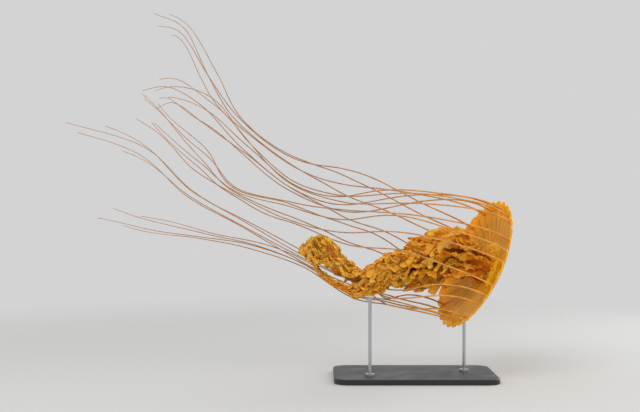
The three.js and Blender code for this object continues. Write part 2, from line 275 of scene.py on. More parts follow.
# Where each of these begins and is whole, or begins to fade and is gone, as shares of the radius.
FURROW_RISE = 0.72, 0.98
SEPTUM_RISE, SEPTUM_FALL = (0.36, 0.5), (0.84, 0.92)
LINE_RISE, LINE_FALL = (0.3, 0.45), (0.86, 0.93)
FOLD_RISE, FOLD_FALL = (0.46, 0.54), (0.78, 0.88)
GONAD_RISE, GONAD_FALL = (0.19, 0.25), (0.36, 0.44)


class Bell:
    """The bell's shape in its own frame: +Y towards the apex and +Z towards the upper rim."""

    def __init__(self, sizes):
        self.radius = sizes.radius
        self.dome_height = sizes.dome * sizes.radius
        self.lappets = sizes.lappets
        self.apexward = Vector((
            math.cos(sizes.turn) * math.cos(sizes.dive),
            math.sin(sizes.turn),
            -math.cos(sizes.turn) * math.sin(sizes.dive),
        ))
        rim_up = Vector((math.sin(sizes.dive), 0, math.cos(sizes.dive)))
        self.turned = Matrix((self.apexward.cross(rim_up), self.apexward, rim_up)).transposed()
        self.place = Matrix.Translation(sizes.centre) @ self.turned.to_4x4()

    def dome(self, share):
        """Height of the outside above the lappet tips."""
        return self.dome_height * (1 - share**DOME_POWER)

    def dish(self, share):
        """Height of the inside above the lappet tips."""
        thinner = (WALL_APEX - WALL_MARGIN) * smoothstep(share, *WALL_TAPER)
        return self.dome(share) - WALL_APEX + thinner

    def cleft(self, angle):
        """1 at a cleft between two lappets, and 0 in the middle of a lappet."""
        return (1 + math.cos(self.lappets * angle)) / 2

    def kept(self, share, angle):
        """How much of the radius the clefts between lappets leave."""
        return 1 - LAPPET_DEPTH * smoothstep(share, LAPPET_START, 1) * self.cleft(angle) ** 2

    def outline(self):
        """The half section from apex over margin to mouth, as (radius, height) pairs."""
        outside = [self.radius * i / OUTER_RINGS for i in range(OUTER_RINGS)]
        inside = [
            self.radius * (INNER_EDGE - (INNER_EDGE - TUBE_SHARE) * i / INNER_RINGS)
            for i in range(INNER_RINGS + 1)]
        lip = WALL_MARGIN / 2
        turn = [math.pi / 2 - math.pi * i / LIP_RINGS for i in range(LIP_RINGS + 1)]
        points = [(r, self.dome(r / self.radius)) for r in outside]
        points += [(self.radius - lip + lip * math.cos(a), lip * (math.sin(a) - 1)) for a in turn]
        points += [(r, self.dish(r / self.radius)) for r in inside]
        top, tube, end, bend = self.dish(TUBE_SHARE), MANUBRIUM_RADIUS, MANUBRIUM_END, TUBE_ROUNDING
        points += [(tube + bend, top - 0.75 * bend), (tube, top - 2.5 * bend)]
        points += [(tube, end + 4.5 * bend), (tube, end + bend)]
        points += [(tube - bend, end), (MOUTH_RADIUS, end + MOUTH_DEPTH / 3)]
        return points + [(0, end + MOUTH_DEPTH * 4 / 3)]

    def relief(self, share, angle, inside):
        """How far the surface sinks into the jelly: furrows, septa, muscle folds and gonads."""
        furrow = FURROW * self.cleft(angle) ** 3 * smoothstep(share, *FURROW_RISE)
        if not inside:
            return furrow * FURROW_OUTSIDE
        septum = SEPTUM * self.cleft(angle) ** 6 * band(share, SEPTUM_RISE, SEPTUM_FALL)
        fold = MUSCLE_FOLD * math.sin(2 * math.pi * share * self.radius / MUSCLE_FOLD_SPACING)
        fold *= band(share, FOLD_RISE, FOLD_FALL)
        return furrow * FURROW_INSIDE + septum + fold - self.gonad(share, angle)

    def gonad(self, share, angle):
        """Height of the four ruffled gonads, which hang in a ring round the mouth tube."""
        pad = abs(math.cos(2 * angle)) ** 0.6 * band(share, GONAD_RISE, GONAD_FALL)
        place = Vector((math.sin(angle), math.cos(angle), 0)) * (share * self.radius / GONAD_RUFFLE)
        ruffle = 0.5 + 0.5 * math.sin(6 * noise.noise(place) + 2 * place.length)
        return pad * (GONAD_HEIGHT + GONAD_RUFFLE_HEIGHT * ruffle)


def bell_skin(bell, material):
    """The bell's jelly, spun from its half section and then scalloped and furrowed."""
    bm = bmesh.new()
    verts = [bm.verts.new((r, y, 0)) for r, y in bell.outline()]
    edges = [bm.edges.new(pair) for pair in zip(verts, verts[1:])]
    bmesh.ops.spin(
        bm, geom=verts + edges, cent=(0, 0, 0), axis=(0, 1, 0), angle=2 * math.pi,
        steps=bell.lappets * STEPS_PER_LAPPET, use_merge=True, use_duplicate=False)
    bmesh.ops.remove_doubles(bm, verts=bm.verts, dist=0.01 * MM)
    bmesh.ops.recalc_face_normals(bm, faces=bm.faces)
    share_layer = bm.verts.layers.float.new("share")
    septa_layer = bm.verts.layers.float.new("septa")
    gonad_layer = bm.verts.layers.float.new("gonad")
    around_layer = bm.verts.layers.float_vector.new("around")
    for vert in bm.verts:
        x, y, z = vert.co
        radius = math.hypot(x, z)
        share = radius / bell.radius
        angle = math.atan2(x, z)
        middle = (bell.dome(min(share, 1)) + bell.dish(min(share, 1))) / 2
        inside = y < middle
        sink = bell.relief(share, angle, inside) * (1 if inside else -1)
        if share < TUBE_SHARE:
            sink = 0
        kept = bell.kept(share, angle)
        vert.co = (x * kept, y + sink, z * kept)
        round_bell, outwards = PATCHES
        patch = noise.noise(Vector((
            round_bell * math.sin(angle), round_bell * math.cos(angle), outwards * share)))
        line = (0.5 + 0.5 * patch) * bell.cleft(angle) ** 5 * band(share, LINE_RISE, LINE_FALL)
        vert[share_layer] = share
        vert[septa_layer] = line * (1 if inside else SEPTUM_OUTSIDE)
        vert[gonad_layer] = bell.gonad(share, angle) / (GONAD_HEIGHT + GONAD_RUFFLE_HEIGHT) * inside
        vert[around_layer] = (math.cos(angle), math.sin(angle), share)
    bmesh.ops.transform(bm, matrix=bell.place, verts=bm.verts)
    return finish_piece(bm, "bell_skin", material, ["bell"])


def jelly_material(colours):
    """Mesoglea: a wet gel, nearly all water, with a fine rusty pigment under a smooth skin.

    The eye gets a soft amber glow, a little of what lies behind, and sharp wet highlights.
    """
    material, tree, surface = new_material("Amber mesoglea")
    share = add(tree, "ShaderNodeAttribute", attribute_name="share").outputs["Fac"]
    septa = add(tree, "ShaderNodeAttribute", attribute_name="septa").outputs["Fac"]
    gonad = add(tree, "ShaderNodeAttribute", attribute_name="gonad").outputs["Fac"]
    around = add(tree, "ShaderNodeAttribute", attribute_name="around").outputs["Vector"]
    # Muscle strands run out from the middle, about 4 mm apart at the margin.
    strands = add(tree, "ShaderNodeMapping", {"Vector": around, "Scale": (30, 30, 2.5)})
    streaks = add(
        tree, "ShaderNodeTexNoise", {"Vector": strands.outputs[0], "Scale": 1, "Detail": 1.5})
    place = add(tree, "ShaderNodeTexCoord").outputs["Object"]
    # Clouds of pigment about 25 mm across, and warts of the skin about 1.4 mm across.
    clouds = add(tree, "ShaderNodeTexNoise", {"Vector": place, "Scale": 1 / (25 * MM), "Detail": 2})
    warts = add(tree, "ShaderNodeTexNoise", {"Vector": place, "Scale": 1 / (1.4 * MM), "Detail": 1})
    rim = add(tree, "ShaderNodeMapRange", {"Value": share, 1: 0.7, 2: 0.97})
    base = add(
        tree, "ShaderNodeMix",
        {0: rim.outputs[0], 6: linear(colours.jelly), 7: linear(colours.margin)}, data_type="RGBA")
    lined = add(
        tree, "ShaderNodeMix",
        {0: septa, 6: base.outputs[2], 7: linear(colours.septa)}, data_type="RGBA")
    ripe = add(
        tree, "ShaderNodeMix",
        {0: gonad, 6: lined.outputs[2], 7: linear(colours.gonads)}, data_type="RGBA")
    streaky = add(
        tree, "ShaderNodeMapRange", {"Value": streaks.outputs[0], 1: 0.3, 2: 0.7, 3: 0.9, 4: 1.08})
    cloudy = add(
        tree, "ShaderNodeMapRange", {"Value": clouds.outputs[0], 1: 0.3, 2: 0.7, 3: 0.84, 4: 1.14})
    shade = add(
        tree, "ShaderNodeMath", {0: streaky.outputs[0], 1: cloudy.outputs[0]}, operation="MULTIPLY")
    toned = add(
        tree, "ShaderNodeMix",
        {0: 1.0, 6: ripe.outputs[2], 7: shade.outputs[0]}, data_type="RGBA", blend_type="MULTIPLY")
    # The thin rim is a little clearer than the rest.
    clear = add(tree, "ShaderNodeMapRange", {"Value": share, 1: 0.8, 2: 1.0, 3: 1.0, 4: 0.97})
    bump = add(
        tree, "ShaderNodeBump",
        {"Height": warts.outputs[0], "Distance": 0.12 * MM, "Strength": 0.4})
    wavy = add(
        tree, "ShaderNodeBump",
        {"Height": streaks.outputs[0], "Distance": 0.5 * MM, "Strength": 0.4,
         "Normal": bump.outputs[0]})
    plug(tree, surface, {
        "Base Color": toned.outputs[2], "Alpha": clear.outputs[0], "Normal": wavy.outputs[0],
        "Roughness": 0.4, "IOR": 1.34, "Specular IOR Level": 0.25,
        "Subsurface Weight": 0.8, "Subsurface Radius": (1.0, 0.5, 0.1),
        "Subsurface Scale": 6 * MM, "Coat Weight": 0.12, "Coat Roughness": 0.08})
    return material


SENSE_ORGANS = 8
SENSE_ORGAN_RADIUS = 1.7 * MM
SENSE_ORGAN_STRETCH = 0.8, 0.8, 1.3  # round the margin, across it, and outwards
SENSE_ORGAN_INSET = 1.5 * MM  # from the edge of its cleft
SENSE_ORGAN_RISE = 0.2 * MM


def organ_material():
    """Sense organ: a knob of dense tissue over a chalky crystal, so pale, opaque and glossy."""
    material, tree, surface = new_material("Pale dense tissue")
    plug(tree, surface, {"Base Color": linear("#F2C27A"), "Roughness": 0.25, "Coat Weight": 0.3})
    return material


# ---- Tentacles ---------------------------------------------------------------------------------

# The tentacles draw together into five strands in the wake, each narrowing to a waist and fanning
# out again to its tips. starts are where they grow, counted in clefts from the upper rim towards
# -Y. Every fourth cleft has a sense organ instead.
STRANDS = {
    "high": {
        "line": spline([
            (116, 30, 303), (-7, 45, 349), (-130, 45, 372), (-238, 40, 411),
            (-330, 30, 483), (-386, 20, 566), (-432, 10, 649), (-489, 0, 668)]),
        "widths": [(0.2, 25), (0.5, 7), (0.7, 14), (1, 20)],
        "turn": math.radians(140),
        "starts": [-7, -6, -5, -3],
    },
    "middle": {
        "line": spline([
            (116, 15, 285), (-7, 20, 319), (-128, 20, 323), (-229, 10, 358),
            (-314, 0, 429), (-383, -10, 496), (-446, -20, 529), (-497, -20, 519)]),
        "widths": [(0.2, 25), (0.43, 8), (0.75, 24), (1, 20)],
        "turn": math.radians(-120),
        "starts": [-9, -2, -1, 1, 2, 3],
    },
    "inner": {
        "line": spline([
            (116, -10, 238), (-7, -15, 283), (-128, -25, 281), (-240, -35, 312),
            (-336, -45, 350), (-392, -55, 403), (-454, -60, 463), (-509, -60, 514)]),
        "widths": [(0.2, 30), (0.42, 21), (0.56, 7), (0.75, 20), (1, 24)],
        "turn": math.radians(110),
        "starts": [-11, -10, 5, 6, 7, 9],
    },
    "long": {
        "line": spline([
            (116, -45, 135), (8, -14, 128), (-77, 5, 164), (-175, -5, 209),
            (-310, -30, 284), (-410, -45, 342), (-500, -55, 420), (-640, -60, 468)]),
        "widths": [(0.08, 26), (0.17, 9), (0.5, 8), (0.75, 9), (1, 20)],
        "turn": math.radians(-100),
        "starts": [10, 11, 13, 19],
    },
    "low": {
        "line": spline([
            (95, 25, 96), (-5, 40, 140), (-110, 45, 152), (-205, 40, 209),
            (-300, 25, 246), (-395, 10, 265), (-490, 0, 285), (-585, -10, 309)]),
        "widths": [(0.1, 12), (0.28, 6), (0.6, 7), (1, 18)],
        "turn": math.radians(90),
        "starts": [14, 15, 17, 18],
    },
}
REACHES = [1, 0.93, 0.97, 0.89, 0.95, 0.91]  # how far along its strand each tentacle reaches
WAKE = Vector((-0.850, -0.145, 0.050))  # a tentacle's run if it trailed straight back
RISES = 22 * MM, 36 * MM  # how far a tentacle lifts as it leaves the lower rim, and the upper
RISE_OVER = 0.07  # share of its length in which it does most of that
JOIN_END = 0.34  # by here a tentacle lies in its strand
SWAY = 0.2  # how much a tentacle nears and leaves the middle of its strand, as a share
SWAYS = 3
SWAY_SHIFT = 2.3
ROOT_GAP = 1.0 * MM  # from the bell's inside to the end of a tentacle's solid
ROOT_DEPTH = 0.9 * MM  # how far a tentacle is rooted in the jelly
TENTACLE_RADII = [(0, 1.7), (0.1, 1.25), (0.3, 1.05), (0.6, 0.85), (1, 0.5)]
FLARE = 0.8  # how much wider a tentacle is where it grows
FLARE_LENGTH = 4 * MM
SWELL = 17 * MM  # length of the soft swellings along a tentacle
SWELL_HEIGHT = 0.12  # as a share of its radius
TIP_ROUNDING = 2 * MM
TIP_BLUNTNESS = 0.02
SLOPE_STEP = 0.01  # share of the bell's radius over which its slope is taken


def tentacle_line(bell, strand, index):
    """The line of one tentacle, from its root on the margin, 0, to its tip, 1."""
    starts = strand["starts"]
    angle = 2 * math.pi * starts[index] / bell.lappets
    radial = Vector((math.sin(angle), 0, math.cos(angle)))
    root = radial * bell.radius * ROOT_SHARE * bell.kept(ROOT_SHARE, angle)
    root.y = bell.dish(ROOT_SHARE)
    drop = bell.dish(ROOT_SHARE + SLOPE_STEP) - bell.dish(ROOT_SHARE)
    slope = drop / (SLOPE_STEP * bell.radius)
    seat = (bell.turned @ (radial * slope - DEPTH)).normalized()
    root = bell.place @ root + seat * ROOT_GAP
    middle = math.pi * (starts[0] + starts[-1]) / bell.lappets
    share = (index - (len(starts) - 1) / 2) / len(starts)
    phase = math.pi / 2 + middle + 2 * math.pi * share
    rise = RISES[0] + (RISES[1] - RISES[0]) * abs(math.cos(angle / 2))

    def place(t):
        if t < 0:
            return root + seat * (t * WAKE.length)
        trailing = root + WAKE * t + Vector((0, 0, rise * (1 - math.exp(-t / RISE_OVER))))
        along = t * REACHES[index]
        point, side, up, _ = frame_at(strand["line"], along)
        sway = SWAY * math.sin(2 * math.pi * SWAYS * t + SWAY_SHIFT * phase)
        width = profile(strand["widths"], along) * MM * (1 + sway)
        turned = phase + strand["turn"] * along
        point += side * (width * math.cos(turned)) + up * (width * math.sin(turned))
        return trailing.lerp(point, smoothstep(t, 0, JOIN_END))

    return place


def bent_tube(sides, rings, line, span, radius_at):
    """A closed tube bent along a line, with each vert's distance along it kept as 'along'."""
    bm = bmesh.new()
    upright_tube(bm, sides, rings)
    along_layer = bm.verts.layers.float.new("along")
    frames = {}
    start, end = span
    for vert in bm.verts:
        row = round((vert.co.z + 0.5) * rings)
        if row not in frames:
            t = start + (end - start) * row / rings
            frames[row] = (t, *frame_at(line, t))
        t, place, side, up, _ = frames[row]
        radius = radius_at(t)
        vert[along_layer] = t
        vert.co = place + side * (vert.co.x * radius) + up * (vert.co.y * radius)
    bmesh.ops.recalc_face_normals(bm, faces=bm.faces)
    return bm


def tentacle_radius(t):
    """Radius of a tentacle: a flared root, a slow taper with soft swellings, and a rounded tip."""
    run = t * WAKE.length
    radius = profile(TENTACLE_RADII, t) * MM
    radius *= 1 + FLARE * math.exp(-max(run, 0) / FLARE_LENGTH)
    radius *= 1 + SWELL_HEIGHT * noise.noise(Vector((run / SWELL, 0, 0)))
    left = max(1 - t, 0) * WAKE.length
    return radius * math.sqrt(min(left / TIP_ROUNDING, 1) + TIP_BLUNTNESS)


def tentacle_material(colours):
    """Tentacle: a wet muscular cord, gold at its root and rusty tan beyond.

    Stinging cells speck it all over. The eye gets a darker, more opaque thread than the bell,
    with a soft wet sheen.
    """
    material, tree, surface = new_material("Rusty tentacle flesh")
    along = add(tree, "ShaderNodeAttribute", attribute_name="along").outputs["Fac"]
    place = add(tree, "ShaderNodeTexCoord").outputs["Object"]
    fade = add(tree, "ShaderNodeMapRange", {"Value": along, 1: 0.0, 2: 0.3})
    base = add(
        tree, "ShaderNodeMix",
        {0: fade.outputs[0], 6: linear(colours.root), 7: linear(colours.flesh)}, data_type="RGBA")
    blotch = add(tree, "ShaderNodeTexNoise", {"Vector": place, "Scale": 1 / (14 * MM), "Detail": 2})
    # Batteries of stinging cells are specks about 1 mm across.
    specks = add(tree, "ShaderNodeTexNoise", {"Vector": place, "Scale": 1 / (1 * MM), "Detail": 1})
    tint = add(
        tree, "ShaderNodeMapRange", {"Value": blotch.outputs[0], 1: 0.3, 2: 0.7, 3: 0.8, 4: 1.2})
    speckled = add(
        tree, "ShaderNodeMapRange", {"Value": specks.outputs[0], 1: 0.3, 2: 0.7, 3: 0.9, 4: 1.08})
    shade = add(
        tree, "ShaderNodeMath", {0: tint.outputs[0], 1: speckled.outputs[0]}, operation="MULTIPLY")
    toned = add(
        tree, "ShaderNodeMix",
        {0: 1.0, 6: base.outputs[2], 7: shade.outputs[0]}, data_type="RGBA", blend_type="MULTIPLY")
    bump = add(
        tree, "ShaderNodeBump",
        {"Height": specks.outputs[0], "Distance": 0.06 * MM, "Strength": 0.4})
    plug(tree, surface, {
        "Base Color": toned.outputs[2], "Normal": bump.outputs[0],
        "Roughness": 0.38, "IOR": 1.38, "Subsurface Weight": 0.6,
        "Subsurface Radius": (1.0, 0.4, 0.15), "Subsurface Scale": 2 * MM,
        "Coat Weight": 0.15, "Coat Roughness": 0.1})
    return material


# ---- Oral arms ---------------------------------------------------------------------------------

ARMS = 4
ARM_SPREAD = math.radians(33)  # from an arm's middle frill to the one on each side
ARM_FIRST = math.radians(15)  # where arm 1 stands at the mouth
ARM_START = -0.13  # the frills begin up the mouth tube, just short of the bell's inside
ARM_RADII = [
    (ARM_START, 27), (-0.06, 36), (0, 42), (0.1, 47), (0.2, 51), (0.32, 39), (0.42, 34), (0.52, 29),
    (0.6, 25), (0.66, 31), (0.76, 34), (0.86, 44), (0.94, 31), (1, 6)]
# Distance of an arm's rib from the common line: it comes down the outside of the mouth tube.
ARM_FOLDS = [(ARM_START, 19), (0, 18), (0.07, 9), (0.2, 9), (0.6, 5), (1, 3)]
LOWER_PAIR = [(0.6, 1), (0.75, 0.42), (0.86, 0.22), (1, 0.25)]  # share of it in the lower pair
ARM_FLATNESS = [(0.05, 1), (0.15, 0.7), (0.55, 0.7), (0.75, 0.55)]  # of the bundle, in depth
LOWER_DROP = [(0.58, 0), (0.75, 12), (0.86, 16), (0.94, 7), (1, 3)]  # below the upper pair
SWINGS = 6  # slow waves of a frill from side to side
SWING = math.radians(8)
RIB_RADII = [(ARM_START, 4), (0, 6), (0.2, 4.5), (0.6, 2.6), (1, 1)]
RIB_TIP = 0.3  # the last ring's radius, as a share of what the line above gives
RIB_SIDES = 10
RIB_STEP = 4  # rows of a frill to one ring of the rib
MIDDLE_FRILL = 0.8  # width of the middle frill, as a share of the other two
UNEVEN = [(1, 0.3), (3.1, 0.12)]  # coarse and fine unevenness of a frill's width
UNEVEN_LENGTH = 22
# Waves of a frill, coarse to fine: length and height in mm, where across it each begins, and how
# far its crests lean over.
RUFFLES = [(27, 6.5, 0.05, 0.6), (11, 3.8, 0.3, 0.6), (5, 1.5, 0.55, 0.4)]
FOLD_WANDER = 1.5  # how much a fold strays on its way to the edge; at 0 it runs straight out
FOLD_DRIFT = 1.1  # how unevenly the folds are spaced; at 0 they are evenly spaced
CALM = 0.4  # how high the waves of a narrow frill still are, as a share
NARROW, WIDE = 5, 30  # radii in mm of a frill that is calm, and of one with its full waves
SWEEP_POWER = 1.4  # above 1 a frill's edge is swept back more than what is near the rib
EDGE_SHARE = 0.75  # below 1 this sets a frill's columns closer together at its edge


def arm_line(bell):
    """The line down the middle of the four arms, from the mouth, 0, to their tips, 1.

    Below 0 it runs straight back up the mouth tube.
    """
    under_mouth = [
        bell.place @ Vector((0, MANUBRIUM_END - distance * MM, 0)) / MM for distance in (0.3, 35)]
    bent = spline([
        *under_mouth, (30, -20, 217), (-15, -30, 206), (-52, -40, 199),
        (-84, -45, 183), (-120, -50, 188), (-160, -55, 212), (-208, -60, 246)])
    speed = (bent(SMALL) - bent(0)) / SMALL

    def place(t):
        return bent(t) if t > 0 else bent(0) + speed * t

    return place


class Arm:
    """One oral arm: a rib with three frills, bent along the arms' line."""

    def __init__(self, line, index, sizes):
        self.index = index
        self.upper = index in (0, ARMS - 1)
        self.sizes = sizes
        self.rows = []
        distance = 0
        last = line(ARM_START)
        for row in range(sizes.rows + 1):
            t = ARM_START + (1 - ARM_START) * row / sizes.rows
            distance += (line(t) - last).length
            last = line(t)
            self.rows.append((t, distance, frame_at(line, t)))

    def set_down(self, row, x, y, forwards=0):
        """The place in the arm's row of a point in its section, in mm from the common line."""
        t, _, (place, side, up, along) = self.rows[row]
        angle = ARM_FIRST + self.index * 2 * math.pi / ARMS + self.sizes.twist * t
        across = x * math.cos(angle) - y * math.sin(angle)
        upwards = x * math.sin(angle) + y * math.cos(angle)
        if not self.upper:
            upwards -= profile(LOWER_DROP, t)
        across *= profile(ARM_FLATNESS, t)
        return place + (side * across + up * upwards + along * forwards) * MM

    def frill_point(self, row, share, wing):
        """A point of one frill, share of the way out from the rib, and how high its waves are, for
        the painted light on the crests and the painted shade in the troughs.
        """
        t, distance, _ = self.rows[row]
        run = distance / MM
        where = Vector((run / UNEVEN_LENGTH, 7 * self.index + 3 * wing, 0))
        radius = profile(ARM_RADII, t) * (1 if self.upper else profile(LOWER_PAIR, t))
        radius *= 0.97 + sum(much * noise.noise(where * fine) for fine, much in UNEVEN)
        if not wing:
            radius *= MIDDLE_FRILL
        lean = wing * ARM_SPREAD
        rib = Vector((profile(ARM_FOLDS, t), 0))
        reach = Vector((math.cos(lean), math.sin(lean))) * radius - rib
        point = rib + reach * share
        out = Vector((-reach.y, reach.x)).normalized()
        calm = CALM + (1 - CALM) * smoothstep(radius, NARROW, WIDE)
        calm *= smoothstep(t, ARM_START, 0)
        lift = painted_crest_light = 0
        forwards = self.sizes.trail * reach.length * share**SWEEP_POWER
        forwards *= smoothstep(t, ARM_START, 0.05)
        for number, (length, height, start, lean_over) in enumerate(RUFFLES):
            side = 11 * self.index + 5 * wing + FOLD_WANDER * share
            drift = noise.noise(Vector((run / (2.5 * length), side, number)))
            phase = 2 * math.pi * (run / length + FOLD_DRIFT * drift) + 2 * wing + self.index
            grown = calm * smoothstep(share, start, 1)
            lift += height * grown * math.sin(phase)
            forwards += lean_over * height * grown * math.sin(2 * phase + 0.6)
            # The waves' heights are summed for the painted light on the crests and the painted shade
            # in the troughs.
            painted_crest_light += math.sin(phase) * smoothstep(share, start, 1) / len(RUFFLES)
        point += out * lift
        swing = SWING * math.sin(2 * math.pi * SWINGS * t) * share
        x = point.x * math.cos(swing) - point.y * math.sin(swing)
        y = point.x * math.sin(swing) + point.y * math.cos(swing)
        return self.set_down(row, x, y, forwards), painted_crest_light

    def frill(self, bm, wing):
        """Adds one frill: a sheet from the rib to a waved edge, with an even thickness."""
        rows, columns = self.sizes.rows, self.sizes.columns
        before = set(bm.verts)
        bmesh.ops.create_grid(bm, x_segments=columns, y_segments=rows, size=0.5)
        verts = [v for v in bm.verts if v not in before]
        faces = [f for f in bm.faces if f.verts[0] not in before]
        for vert in verts:
            row = round((vert.co.y + 0.5) * rows)
            share = max(vert.co.x + 0.5, 0) ** EDGE_SHARE
            # Keeps the wave height for the painted light and shade, and the share out from the rib.
            vert.co, vert[bm.verts.layers.float["painted_crest_light"]] = self.frill_point(row, share, wing)
            vert[bm.verts.layers.float["frill"]] = share
            vert[bm.verts.layers.float["run"]] = self.rows[row][1]
        bmesh.ops.solidify(bm, geom=faces, thickness=self.sizes.thickness)

    def rib(self, bm):
        """Starts the arm with the thick rib that the frills grow from."""
        rows = self.sizes.rows // RIB_STEP
        upright_tube(bm, RIB_SIDES, rows)
        for vert in bm.verts:
            row = round((vert.co.z + 0.5) * rows) * RIB_STEP
            t = self.rows[row][0]
            radius = profile(RIB_RADII, t) * (1 if t < 1 else RIB_TIP)
            vert.co = self.set_down(
                row, profile(ARM_FOLDS, t) + radius * vert.co.x, radius * vert.co.y)


def arm_skin(line, index, sizes, material):
    """One oral arm, with its rib and its three frills as one piece."""
    arm = Arm(line, index, sizes)
    bm = bmesh.new()
    # The first layer keeps the wave heights for the painted light on the crests and the painted
    # shade in the troughs.
    for name in ("painted_crest_light", "frill", "run"):
        bm.verts.layers.float.new(name)
    arm.rib(bm)
    for wing in (-1, 0, 1):
        arm.frill(bm, wing)
    bmesh.ops.recalc_face_normals(bm, faces=bm.faces)
    name = f"oral_arm_{index + 1}"
    nodes = [f"{name}_upper", f"{name}_lower"]
    return finish_piece(bm, f"{name}_skin", material, nodes)


def lace_material(colours):
    """Oral-arm frill: a thin wet golden membrane, with painted light and painted shade on it.

    Lighter gold is painted on its wave crests and towards its edge, and orange-brown shade is
    painted near its rib and deep in its folds. The eye also gets many small wet glints.
    """
    material, tree, surface = new_material("Golden frill membrane")
    # Wave height and share out from the rib drive the painted light and shade.
    painted_crest_light = add(tree, "ShaderNodeAttribute", attribute_name="painted_crest_light").outputs["Fac"]
    frill = add(tree, "ShaderNodeAttribute", attribute_name="frill").outputs["Fac"]
    run = add(tree, "ShaderNodeAttribute", attribute_name="run").outputs["Fac"]
    place = add(tree, "ShaderNodeTexCoord").outputs["Object"]
    blotch = add(tree, "ShaderNodeTexNoise", {"Vector": place, "Scale": 1 / (12 * MM), "Detail": 3})
    # Gathers run from the rib to the edge, about 1.6 mm apart.
    lie = add(tree, "ShaderNodeCombineXYZ", {"X": run, "Y": frill})
    lines = add(
        tree, "ShaderNodeMapping", {"Vector": lie.outputs[0], "Scale": (1 / (1.6 * MM), 2.5, 1)})
    gathers = add(tree, "ShaderNodeTexNoise", {"Vector": lines.outputs[0], "Scale": 1, "Detail": 2})
    # Painted light and shade: lighter on the wave crests and towards the frill's edge, darker near
    # the rib and in the troughs, with random blotches of tone on top.
    painted_crest_share = add(tree, "ShaderNodeMath", {0: painted_crest_light, 1: 0.35, 2: 0.15}, operation="MULTIPLY_ADD")
    painted_edge_and_crest_light = add(
        tree, "ShaderNodeMath", {0: frill, 1: 0.5, 2: painted_crest_share.outputs[0]}, operation="MULTIPLY_ADD")
    light = add(
        tree, "ShaderNodeMath",
        {0: blotch.outputs[0], 1: 0.6, 2: painted_edge_and_crest_light.outputs[0]}, operation="MULTIPLY_ADD")
    mix = add(tree, "ShaderNodeMapRange", {"Value": light.outputs[0], 1: 0.25, 2: 1.0})
    # From the painted shade colour to the painted crest light, by that mask.
    toned = add(
        tree, "ShaderNodeMix",
        {0: mix.outputs[0], 6: linear(colours.painted_fold_shade), 7: linear(colours.painted_crest_light)}, data_type="RGBA")
    streaky = add(
        tree, "ShaderNodeMapRange", {"Value": gathers.outputs[0], 1: 0.3, 2: 0.7, 3: 0.78, 4: 1.12})
    shaded = add(
        tree, "ShaderNodeMix",
        {0: 1.0, 6: toned.outputs[2], 7: streaky.outputs[0]},
        data_type="RGBA", blend_type="MULTIPLY")
    bump = add(
        tree, "ShaderNodeBump",
        {"Height": gathers.outputs[0], "Distance": 0.5 * MM, "Strength": 0.6})
    plug(tree, surface, {
        "Base Color": shaded.outputs[2], "Normal": bump.outputs[0],
        "Roughness": 0.34, "IOR": 1.38, "Specular IOR Level": 0.35,
        "Subsurface Weight": 0.8, "Subsurface Radius": (1.0, 0.95, 0.7),
        "Subsurface Scale": 0.5 * MM, "Coat Weight": 0.12, "Coat Roughness": 0.08})
    return material


# ---- Stand -------------------------------------------------------------------------------------


def paint_material():
    """Steel plate under sprayed satin black paint: dark, softly shiny, with faint orange peel."""
    material, tree, surface = new_material("Satin black paint")
    place = add(tree, "ShaderNodeTexCoord").outputs["Object"]
    # Orange peel of sprayed paint, about 1.5 mm across.
    peel = add(tree, "ShaderNodeTexNoise", {"Vector": place, "Scale": 1 / (1.5 * MM), "Detail": 2})
    dust = add(tree, "ShaderNodeTexNoise", {"Vector": place, "Scale": 1 / (40 * MM), "Detail": 4})
    rough = add(
        tree, "ShaderNodeMapRange", {"Value": dust.outputs[0], 1: 0.3, 2: 0.7, 3: 0.34, 4: 0.48})
    tint = add(
        tree, "ShaderNodeMix",
        {0: dust.outputs[0], 6: linear("#17171A"), 7: linear("#242428")}, data_type="RGBA")
    bump = add(
        tree, "ShaderNodeBump",
        {"Height": peel.outputs[0], "Distance": 0.04 * MM, "Strength": 0.5})
    plug(tree, surface, {
        "Base Color": tint.outputs[2], "Roughness": rough.outputs[0], "Normal": bump.outputs[0]})
    return material


def steel_material():
    """Drawn stainless steel rod: bright, with fine lines along it that stretch the glints."""
    material, tree, surface = new_material("Drawn stainless steel")
    place = add(tree, "ShaderNodeTexCoord").outputs["Object"]
    # Drawing lines run up the rod, 0.3 mm apart.
    spacing = 0.3 * MM
    lines = add(
        tree, "ShaderNodeMapping", {"Vector": place, "Scale": (1 / spacing, 1 / spacing, 12)})
    grain = add(tree, "ShaderNodeTexNoise", {"Vector": lines.outputs[0], "Scale": 1, "Detail": 2})
    rough = add(
        tree, "ShaderNodeMapRange", {"Value": grain.outputs[0], 1: 0.3, 2: 0.7, 3: 0.2, 4: 0.36})
    bump = add(
        tree, "ShaderNodeBump",
        {"Height": grain.outputs[0], "Distance": 0.02 * MM, "Strength": 0.4})
    plug(tree, surface, {
        "Base Color": linear("#B9BCC0"), "Metallic": 1,
        "Roughness": rough.outputs[0], "Normal": bump.outputs[0]})
    return material


# ---- Stage -------------------------------------------------------------------------------------

FLOOR_RADIUS = 6
FLOOR_FADE = 0.6, 1.9  # distances in m over which the floor fades into the light beyond it
STUDIO_LIGHT = 0.65
LIGHTS = (  # name, place, size in m, power in W
    ("key", (-0.8, -1.5, 1.7), 1.0, 19),
    ("fill", (1.4, -1.2, 0.9), 1.4, 5),
    ("glow", (1.3, 1.0, 0.9), 1.0, 9),
)
LIT = Vector((-0.1, 0, 0.3))  # where the lights point


